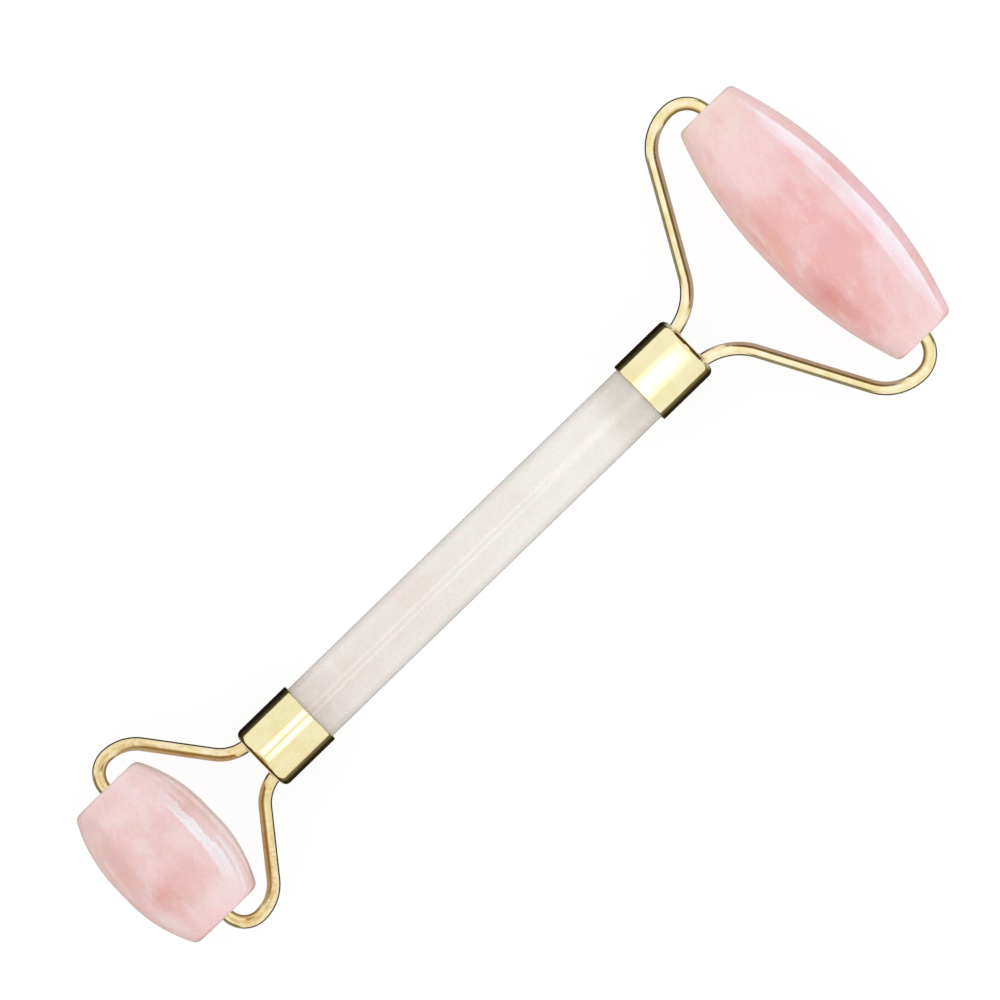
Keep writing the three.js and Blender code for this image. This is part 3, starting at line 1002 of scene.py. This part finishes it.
def tent_material():
    """White overhead and dark below, with dark cards past the two ends of the roller."""
    finish = sheet_of_light("reflection_tent", (1, 1, 1, 1), 1.0)
    place = finish.local((0, 0, 0))
    x, y, z = (finish.axis_of(place, axis) for axis in "XYZ")
    squares = (finish.math("MULTIPLY", axis, axis) for axis in (x, y))
    flat = finish.math("SQRT", finish.math("ADD", *squares))
    rise = finish.math("DEGREES", finish.math("ARCTAN2", z, flat))
    turn = finish.math("DEGREES", finish.math("ARCTAN2", finish.math("ABSOLUTE", y), x))

    dark = finish.mix(finish.ramp(rise, *DARK_TONE_RISE), *DARK_TONES)
    by_side = finish.ramp(y, -TENT_RADIUS / MM, TENT_RADIUS / MM, *DARK_SIDES)
    dark = finish.mix(1.0, dark, by_side, blend="MULTIPLY")
    colour = finish.mix(finish.ramp(rise, *DARK_TOP), dark, (1, 1, 1, 1))
    card = finish.mix(finish.ramp(rise, *CARD_TONE_RISE), *CARD_TONES)
    below_top = finish.ramp(rise, *CARD_TOP)
    past_an_end = (finish.ramp(turn, *edges) for edges in (LARGE_CARD, SMALL_CARD))
    card_here = finish.math("MULTIPLY", below_top, finish.math("MAXIMUM", *past_an_end))
    finish.set(Emission_Color=finish.mix(card_here, colour, card))
    return finish.material


def rise_over(gap, angle):
    """How high a ray gets at that angle in degrees, over a distance."""
    return gap * math.tan(math.radians(angle))


def painted_reflection_material(name, rows, gap):
    """The colours of a flag, a painted reflection in the metal at a distance before it. Rays from
    behind pass through, so that it shows in that metal only."""
    finish = sheet_of_light(name, (1, 1, 1, 1), 1.0)
    height = finish.axis_of(finish.local((0, 0, AXIS_HEIGHT)), "Z")
    (foot,), *others = rows
    colour = (*foot, 1)
    for tint, *angles in others:
        edges = [rise_over(gap, angle) / MM for angle in angles]
        colour = finish.mix(finish.ramp(height, *edges), colour, (*tint, 1))
    behind = finish.surface("Backfacing")
    finish.set(Emission_Color=colour, Alpha=finish.math("SUBTRACT", 1.0, behind))
    return finish.material


def stage_piece(name, vertices, faces, material, seen_by):
    """A stage mesh. seen_by names the rays that meet it."""
    piece = new_object(name, vertices, faces, material, closed=False)
    for ray in ("camera", "diffuse", "glossy", "transmission", "volume_scatter", "shadow"):
        setattr(piece, f"visible_{ray}", ray in seen_by)
    piece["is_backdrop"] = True
    return piece


def build_floor():
    vertices = circle(FLOOR_RADIUS)
    paper = sheet_of_light("floor_paper", (1, 1, 1, 1), FLOOR_GLOW, FLOOR_SCATTER).material
    stage_piece("floor", vertices, [list(range(len(vertices)))], paper, ("camera", "diffuse"))


def build_tent():
    ball = bmesh.new()
    bmesh.ops.create_icosphere(ball, subdivisions=5, radius=TENT_RADIUS)
    vertices = [v.co.copy() for v in ball.verts]
    faces = [[v.index for v in face.verts] for face in ball.faces]
    ball.free()
    stage_piece("reflection_tent", vertices, faces, tent_material(), ("glossy",))


def build_fence(name, edges, turned_over, paint):
    """A sheet between pairs of (lower, upper) points, seen in mirrors on one side only."""
    vertices = [point for pair in edges for point in pair]
    faces = [[i, i + 1, i + 3, i + 2] for i in range(0, len(vertices) - 2, 2)]
    if turned_over:
        faces = [list(reversed(face)) for face in faces]
    stage_piece(name, vertices, faces, paint, ("glossy",))


def build_flag(end, sign, kind, gap, paint):
    """A fence along the inner side of one arm, beside its slope or inside its outer bend, which
    shows in the arm as a painted reflection.
    """
    slope = Vector((math.cos(end["slope"]) * end["toward"], math.sin(end["slope"]) * sign))
    top_angle = FLAGS[end["name"]][kind][-1][-1]
    low, high = (rise_over(gap, angle) for angle in (FLAG_FOOT, top_angle))
    head_end = extent(f"{end['name']}_head").y / 2
    edges = []
    for point, along in arm_line(end, sign):
        turned_by = along.angle(slope)
        if kind == "slope":
            nearest = "head" if abs(point.y) > end["reach"] / 2 else "ferrule"
            share = 1 - (turned_by / SLOPE_FLAG_TURN[nearest]) ** 2
        else:
            start, full = BEND_FLAG_TURN
            share = min(1, (turned_by - start) / (full - start)) if abs(point.y) > head_end else 0
        if share <= 0:
            continue
        across = Vector((along.y, -along.x)) * sign * end["toward"]
        foot = point + across * gap
        tops = (low, low + (high - low) * share)
        edges.append([Vector((foot.x, foot.y, AXIS_HEIGHT + top)) for top in tops])
    build_fence(f"{end['name']}_{kind}_flag", edges, sign * end["toward"] < 0, paint)


def build_rim_flag(end):
    """A small flag just before the top of the rim of a ferrule's closed end, which puts a painted
    dark reflection of the head's shaded side in the rim.
    """
    node = f"{end['name']}_ferrule"
    x = end_face(end) + RIM_FLAG_GAP * end["toward"]
    radii = [extent(node).z / 2 + reach for reach in RIM_FLAG_REACH]
    edges = []
    for i in range(RIM_FLAG_STEPS + 1):
        angle = RIM_FLAG_TURN[end["name"]] * (2 * i / RIM_FLAG_STEPS - 1)
        around = Vector((0, math.sin(angle), math.cos(angle)))
        edges.append([Vector((x, 0, AXIS_HEIGHT)) + around * radius for radius in radii])
    paint = painted_reflection_material(f"{node}_rim_flag", RIM_FLAG, RIM_FLAG_GAP)
    build_fence(f"{node}_rim_flag", edges, end["toward"] < 0, paint)


def build_face_flag(end):
    """A small round flag before the flat of a ferrule's closed end, which would show the other
    flags from behind. It puts a painted reflection in the flat, tan low down and pale higher up."""
    node = f"{end['name']}_ferrule"
    centre = Vector((end_face(end) + FACE_FLAG_GAP * end["toward"], 0, AXIS_HEIGHT))
    radius = extent(node).z / 2 - FERRULE_RIM_RADIUS + FACE_FLAG_REACH
    vertices = [centre + Vector((0, point.x, point.y)) for point in circle(radius)]
    face = list(range(len(vertices)))
    if end["toward"] > 0:
        face.reverse()
    paint = painted_reflection_material(f"{node}_face_flag", FACE_FLAG, FACE_FLAG_GAP)
    stage_piece(f"{node}_face_flag", vertices, [face], paint, ("glossy",))


def build_fork_card(end):
    """A pale card on the floor under a fork, which fades out towards its rim. Only mirrors see it,
    as a painted reflection of the floor.
    """
    node = f"{end['name']}_head"
    centre = Vector((middle(node).x, 0, 0))
    outer, inner = (extent(node).y / 2 + margin for margin in FORK_CARD_FADE)
    squeeze = Vector((FORK_CARD_SQUEEZE, 1, 1))
    vertices = [centre + point * squeeze for point in circle(outer)]
    face = list(range(len(vertices)))
    paint = sheet_of_light(f"{end['name']}_fork_card", FORK_CARD, 1.0)
    distance = paint.vector_math("LENGTH", paint.local(centre, squeeze=squeeze))
    paint.set(Alpha=paint.ramp(distance, outer / MM, inner / MM))
    stage_piece(f"{end['name']}_fork_card", vertices, [face], paint.material, ("glossy",))


def soft_light(name, centre, axes, size, fades, radiance, colour, receivers):
    """A rectangular light that shows only in reflections in the pieces of a collection. axes
    are its length and its width, and fades are how far it fades in from its start and its end
    along the one and the other, as shares of its size."""
    length, width = axes
    lamp = bpy.data.lights.new(name, "AREA")
    lamp.shape = "RECTANGLE"
    lamp.size, lamp.size_y = size
    lamp.energy = radiance * math.pi * size[0] * size[1]
    lamp.color = colour
    lamp.use_nodes = True
    nodes = Nodes(lamp.node_tree)
    shade = 1.0
    for axis, across, edge_fades in zip(axes, size, (fades[:2], fades[2:])):
        share = nodes.vector_math("DOT_PRODUCT", nodes.surface("Position"), axis / across)
        for side, fade in zip((-0.5, 0.5), edge_fades):
            if fade > 0:
                edge = axis.dot(centre) / across + side
                faded = nodes.ramp(share, edge, edge - math.copysign(fade, side))
                shade = nodes.math("MULTIPLY", faded, shade)
    nodes.put(lamp.node_tree.nodes["Emission"].inputs["Strength"], shade)
    light = bpy.data.objects.new(name, lamp)
    turned_axes = Matrix((length, width, length.cross(width))).transposed()
    light.matrix_world = Matrix.Translation(centre) @ turned_axes.to_4x4()
    bpy.context.scene.collection.objects.link(light)
    light.visible_camera = False
    light.visible_diffuse = False
    light.light_linking.receiver_collection = receivers


def group_of(node):
    """A collection of the shown pieces that stand for a CAD node."""
    group = bpy.data.collections.new(f"{node}_lit")
    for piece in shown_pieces():
        if piece.name.startswith(node):
            group.objects.link(piece)
    return group


def build_overheads():
    """The lights above the handle, one of each pair to either side. Those that don't reach its
    middle leave a gap along it, as a dark boom over it would.
    """
    grow = 1 + OVERHEAD_DROP / CAMERA_DISTANCE
    for number, (node, reach, angles, side_fades, end_fades, radiance) in enumerate(OVERHEADS):
        start, stop = (FRAME_CENTRE[0] + (x - FRAME_CENTRE[0]) * grow for x in reach)
        inner, outer = (OVERHEAD_DROP * math.tan(math.radians(a)) for a in angles)
        ends = [fade / (stop - start) for fade in end_fades]
        lit = group_of(node)
        for side, sign in SIDES.items():
            centre = Vector(((start + stop) / 2, sign * (inner + outer) / 2, 0))
            centre.z = AXIS_HEIGHT + OVERHEAD_DROP
            axes = (Vector((1, 0, 0)), Vector((0, 1, 0)))
            fades = (*ends, *(side_fades if sign > 0 else reversed(side_fades)))
            soft_light(
                f"overhead_{number}_{side}", centre, axes, (stop - start, outer - inner),
                fades, radiance, (1, 1, 1), lit,
            )


def build_keys():
    for number, (name, rise, reach, fades, radiance, colour) in enumerate(KEYS):
        low, high = (KEY_DISTANCE * math.tan(math.radians(a)) for a in rise)
        along = Vector((math.sin(KEY_SWING), math.cos(KEY_SWING), 0))
        centre = middle(f"{name}_head") + Vector((KEY_DISTANCE, 0, (low + high) / 2))
        centre += along * (sum(reach) / 2)
        soft_light(
            f"key_{number}_{name}", centre, (along, Vector((0, 0, 1))),
            (reach[1] - reach[0], high - low), (*fades[2:], *fades[:2]),
            radiance, colour, group_of(f"{name}_head"),
        )


def build_studio():
    scene = bpy.context.scene
    scene.view_settings.view_transform = "Standard"
    world = bpy.data.worlds.new("studio")
    world.use_nodes = True
    world.node_tree.nodes["Background"].inputs["Color"].default_value = (1, 1, 1, 1)
    world.cycles.sampling_method = "NONE"
    scene.world = world
    build_floor()
    build_tent()
    for end in ENDS:
        for kind, gap in (("slope", SLOPE_FLAG_GAP), ("bend", BEND_FLAG_GAP)):
            paint = painted_reflection_material(f"{end['name']}_{kind}_flag", FLAGS[end["name"]][kind], gap)
            for sign in SIDES.values():
                build_flag(end, sign, kind, gap, paint)
        build_rim_flag(end)
        build_face_flag(end)
        build_fork_card(end)
    build_overheads()
    build_keys()


def build_camera():
    lens = bpy.data.cameras.new("camera")
    lens.sensor_width = 36
    lens.lens = lens.sensor_width * CAMERA_DISTANCE / FRAME_WIDTH
    lens.clip_start = 0.05
    lens.clip_end = 20
    camera = bpy.data.objects.new("camera", lens)
    camera.location = (*FRAME_CENTRE, AXIS_HEIGHT + CAMERA_DISTANCE)
    camera.rotation_euler = (0, 0, CAMERA_TURN)
    bpy.context.scene.collection.objects.link(camera)
    bpy.context.scene.camera = camera


build_camera()
build_studio()

boxes = {"cad": cad_box, "visual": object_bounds()}
{name: [list(low), list(high)] for name, (low, high) in boxes.items()}
